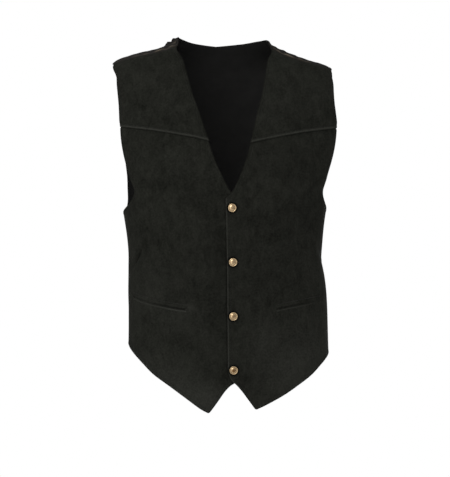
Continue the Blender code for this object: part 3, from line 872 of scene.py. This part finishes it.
# pocket welt: a lip, a slit and a folded flap, as rows of distance above the slit and height above the front;
# tone has rows of share from the front end, painted shade in the slit, painted highlight on the lip and share
# of the height
welt = {
    "profile": [(-6.6, 0.02), (-6.1, 0.3), (-5.3, 0.6), (-4.5, 0.78), (-3.7, 0.75), (-3.0, 0.5), (-2.5, 0.05),
                (-2.0, -0.35), (-1.0, -0.45), (0.0, -0.45), (0.6, -0.3), (0.9, 0.3), (1.2, 0.75), (1.9, 1.05),
                (3.3, 1.2), (5.2, 1.15), (6.6, 1.0), (7.4, 0.8), (7.9, 0.7), (8.5, 0.85), (9.0, 0.65),
                (9.4, 0.05)],
    "tone": {1: [(0, 0.3, 0.35, 1), (0.25, 0.4, 0.6, 1), (0.5, 0.35, 0.4, 0.8), (0.75, 0.1, 0.1, 0.5),
                 (1, 0, 0, 0.4)],
             -1: [(0, 0.6, 0.9, 1), (0.2, 0.55, 1, 1), (0.45, 0.36, 0.55, 0.9), (0.75, 0.2, 0.5, 0.8),
                  (1, 0.3, 0.4, 0.8)]},
    "columns": 96, "near": (0.5, 0.9, 1.3, 1.8, 2.6), "endEase": 1.5, "sunk": 0.35,
    "seamAt": 7.9, "seamRise": 0.95, "flat": (0.102, 0.018),
}


# the profile carried along the slit, let down in a quarter round at both ends
def makeWelt(side, name, node):
    line = layLine(front["slit"][side], side)
    shares = crowdedShares(line, welt["columns"], welt["near"], welt["near"])
    at, rise = np.hsplit(np.array(welt["profile"]), 2)
    tone = np.array(welt["tone"][side])
    dark, pale, tall = [np.interp(shares, tone[:, 0], column) for column in tone[:, 1:].T]
    sheet = settle(cutLine(line, shares)[None] + at[..., None] * np.array([0, 0, 1.0]))
    distance = np.minimum(shares, 1 - shares) * lineLength(line)
    rise = rise * tall * np.sqrt(1 - (1 - np.clip(distance / welt["endEase"], 0, 1)) ** 2)
    skin = front["wall"] + lapLift(sheet, side) + suedeRise(sheet)
    # painted highlight on the lip's crest and on the flap's fold, painted shade in the slit
    wornAndHighlight, paintedShade = pale * (bell(at + 4.1, 1.4) + 0.25 * bell(at - 8.5, 0.8)), dark * bell(at + 0.7, 1.9)
    marks = {key: mark[:, ::side] for key, mark in suedeMarks(sheet, wornAndHighlight, paintedShade).items()}
    inner, outer = skin + np.minimum(rise, 0) - welt["sunk"], skin + rise
    sheet, inner, outer = [grid[:, ::side] for grid in (sheet, inner, outer)]
    piece = clothWall(name, sheet, inner, outer, [suedeFinish], marks, rimSteps=3)
    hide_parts(node)
    path = settle(line + np.array([0, 0, welt["seamAt"]]), 4)
    sewAlong(path, front["wall"] + suedeRise(path) + lapLift(path, side) + welt["seamRise"])


makeWelt(-1, "weltRight", "welt_right")
makeWelt(1, "weltLeft", "welt_left")
print("welts made")


# short threads along every sewn path, each a small tube whose ends dip into the cloth
def makeStitches(name):
    points = []
    t = np.linspace(0, 1, stitch["spans"] + 1)
    ring = np.linspace(0, 2 * np.pi, stitch["sides"], endpoint=False)[None, None, :, None]
    for path, normal in stitchRows:
        length = lineLength(path)
        start = stitch["pitch"] * np.arange(int(length / stitch["pitch"]))
        shares = (start[:, None] + t * stitch["long"]) / length
        centre = cutLine(path, shares.ravel()).reshape(*shares.shape, 3)
        out = cutLine(path, shares.ravel(), normal).reshape(*shares.shape, 3)
        across = unit(np.cross(np.gradient(centre, axis=1), out))
        centre = centre + (stitch["proud"] - stitch["sink"] * (2 * t - 1) ** 4)[None, :, None] * out
        spokes = np.cos(ring) * across[:, :, None] + np.sin(ring) * out[:, :, None]
        points.append(centre[:, :, None] + stitch["thick"] * spokes)
    points = np.concatenate(points)
    count, spans, sides = points.shape[:3]
    i = np.arange(spans * sides).reshape(spans, sides)
    after = np.roll(i, -1, 1)
    wall = np.stack([i[:-1], after[:-1], after[1:], i[1:]], -1).reshape(-1, 4)[:, ::-1]
    first, last = i[0], i[-1]
    caps = np.array([first[[0, 1, 2, 3]], first[[0, 3, 4, 5]], last[[3, 2, 1, 0]], last[[5, 4, 3, 0]]])
    starts = i.size * np.arange(count)
    faces = (np.concatenate([wall, caps])[None] + starts[:, None, None]).reshape(-1, 4)
    addMesh(name, points.reshape(-1, 3), faces, [threadFinish])


makeStitches("sewing")
print("sewing made")

# snap cap: rows of radius and height, each with its brightness: a round rim, a ring of beads, a low dome
snap = {
    "profile": [(6.4, -0.4), (7.1, -0.2), (7.5, 0.2), (7.7, 0.62), (7.62, 1.0), (7.35, 1.28), (7.0, 1.42),
                (6.65, 1.42), (6.35, 1.3), (6.15, 1.18), (5.95, 1.14), (5.75, 1.16), (5.55, 1.2), (5.35, 1.3),
                (5.1, 1.52), (4.6, 1.8), (4.0, 2.05), (3.3, 2.29), (2.6, 2.47), (1.9, 2.61), (1.1, 2.71),
                (0.45, 2.75)],
    "raised": [0.0, 0.0, 0.0, 0.0, 0.1, 0.55, 0.95, 0.9, 0.6, 0.3, 0.1, 0.05, 0.1, 0.3, 0.6, 0.66, 0.62, 0.58,
               0.54, 0.5, 0.48, 0.46],
    "poles": [(-0.4, 0.0), (2.76, 0.46)],  # height and brightness at the middle, underneath and on top
    "sides": 96, "beads": 32, "beadAt": 5.75, "beadWide": 0.3, "beadRise": 0.2, "seat": 0.3,
    "reflectionShade": [0.0, 0.0, 0.4, 0.95], "reflectionShadeWide": 4.2,  # painted dark reflection at the middle of each cap, from the top down
}


# the profile turned about the way out of the lap, closed by a fan at each pole
def makeSnap(number, height):
    place = snapPlace(height)
    axis = formNormal(place)[0]
    seat = place[0] + (front["lapLift"] + front["wall"] + snap["seat"] + suedeRise(place)[0]) * axis
    across = unit(np.cross(axis, [0, 0, 1.0]))
    up = np.cross(across, axis)
    radius, rise = np.hsplit(np.array(snap["profile"]), 2)
    angle = np.linspace(0, 2 * np.pi, snap["sides"], endpoint=False)
    bead = bell(radius - snap["beadAt"], snap["beadWide"]) * (0.5 + 0.5 * np.cos(snap["beads"] * angle))
    points = (seat + (rise + snap["beadRise"] * bead)[..., None] * axis
              + radius[..., None] * (np.cos(angle)[:, None] * across + np.sin(angle)[:, None] * up))
    i = np.arange(bead.size).reshape(bead.shape)
    after = np.roll(i, -1, 1)
    faces = np.stack([i[:-1], i[1:], after[1:], after[:-1]], -1).reshape(-1, 4)
    poleRise, poleRaised = np.array(snap["poles"]).T
    poles = seat + poleRise[:, None] * axis
    under, top = np.full((2, snap["sides"]), i.size) + np.array([[0], [1]])
    fans = np.concatenate([np.stack([under, i[0], after[0]], -1), np.stack([top, after[-1], i[-1]], -1)])
    # painted dark reflection at the middle of the lower caps, on top of the tarnish of the hollows
    reflectionShade = snap["reflectionShade"][number - 1]
    raised = np.array(snap["raised"])[:, None] * (1 - reflectionShade * bell(radius, snap["reflectionShadeWide"])) + 0.5 * bead
    raised = np.append(raised.reshape(-1), poleRaised * (1 - reflectionShade))
    piece = addMesh(f"snapCap{number}", np.concatenate([points.reshape(-1, 3), poles]), faces, [metalFinish],
                    marks={"raised": raised}, fans=fans)
    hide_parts(f"snap_cap_{number}")


for number, height in enumerate(front["snaps"], 1):
    makeSnap(number, height)

# studs and posts keep their solids and take the metal finish
for name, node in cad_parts.items():
    if name.startswith(("snap_stud", "snap_post")):
        node.data.materials.clear()
        node.data.materials.append(metalFinish)
print("snaps made")

# camera at the photograph's angle, in degrees and metres; pixelsTall is the photograph's height
view = {
    "azimuth": -7.0, "elevation": 2.5, "distance": 3.4, "target": (0, 0, -0.3696),
    "mmPerPixel": 1.9, "shiftPixels": 1.0, "pixelsTall": 477,
}
azimuth, elevation = math.radians(view["azimuth"]), math.radians(view["elevation"])
backward = np.array([math.sin(azimuth) * math.cos(elevation), -math.cos(azimuth) * math.cos(elevation),
                     math.sin(elevation)])
rightward = np.array([math.cos(azimuth), math.sin(azimuth), 0])
pixel = view["mmPerPixel"] * mm
cameraData = bpy.data.cameras.new("camera")
cameraData.lens = cameraData.sensor_width * view["distance"] / pixel / view["pixelsTall"]
camera = addObject("camera", cameraData)
camera.location = (np.array(view["target"]) + view["distance"] * backward
                   + view["shiftPixels"] * pixel * rightward)
camera.rotation_euler = (math.radians(90) - elevation, 0, azimuth)
bpy.context.scene.camera = camera

# pale floor well below the hem
stage = {
    "height": -1.25, "radius": 2.1, "sides": 96,
    "pale": (0.86, 0.86, 0.85), "light": (0.90, 0.90, 0.89), "cloud": 6,
}
angle = np.linspace(0, 2 * np.pi, stage["sides"], endpoint=False)
ring = np.stack([stage["radius"] * np.cos(angle), stage["radius"] * np.sin(angle),
                 np.full(stage["sides"], stage["height"])], -1)
floorMesh = bpy.data.meshes.new("floor")
floorMesh.from_pydata(ring.tolist(), [], [list(range(stage["sides"]))])
floorFinish, floorTree, floorShader = newFinish("paleFloor")
cloud = objectNoise(floorTree, stage["cloud"], 3)
floorColour = mixColour(floorTree, cloud, stage["pale"], stage["light"])
feedNode(floorTree, floorShader, {"Base Color": floorColour, "Roughness": 0.8})
floorMesh.materials.append(floorFinish)
floor = addObject("floor", floorMesh)

# white surround, as a light dimmer than it looks and brightest from the upper left, and four large lamps
lights = {
    "from": (-0.42, -0.72, 0.55), "span": (-0.6, 1.0), "strength": (0.07, 0.60), "aim": (0, 0, -0.33),
    "lamps": {
        "key": {"place": (-1.5, -2.5, 1.5), "size": 2.3, "power": 50},
        "fill": {"place": (-1.6, -2.7, -1.0), "size": 1.8, "power": 9},
        "side": {"place": (2.7, -0.2, -0.1), "size": 1.6, "power": 15},
        "behind": {"place": (1.3, 2.5, -0.7), "size": 1.6, "power": 24},
    },
}
world = bpy.data.worlds.new("studio")
bpy.context.scene.world = world
world.use_nodes = True
skyTree = world.node_tree
rays, sight = addNode(skyTree, "LightPath"), addNode(skyTree, "TexCoord")
facing = addNode(skyTree, "VectorMath", operation="DOT_PRODUCT")
feedNode(skyTree, facing, {0: sight.outputs["Generated"], 1: lights["from"]})
lit = remap(skyTree, facing.outputs["Value"], *lights["span"], *lights["strength"])
shown = combine(skyTree, "MAXIMUM", rays.outputs["Is Camera Ray"], lit)
feedNode(skyTree, skyTree.nodes["Background"], {"Color": (1, 1, 1, 1), "Strength": shown})
for name, lamp in lights["lamps"].items():
    data = bpy.data.lights.new(name, "AREA")
    data.size, data.energy = lamp["size"], lamp["power"]
    light = addObject(name, data)
    light.location = lamp["place"]
    toward = np.array(lights["aim"]) - np.array(lamp["place"])
    tip = math.pi - math.acos(toward[2] / np.linalg.norm(toward))
    light.rotation_euler = (tip, 0, math.atan2(toward[1], toward[0]) - math.pi / 2)
bpy.context.scene.view_settings.view_transform = "Standard"
print("camera and light set")
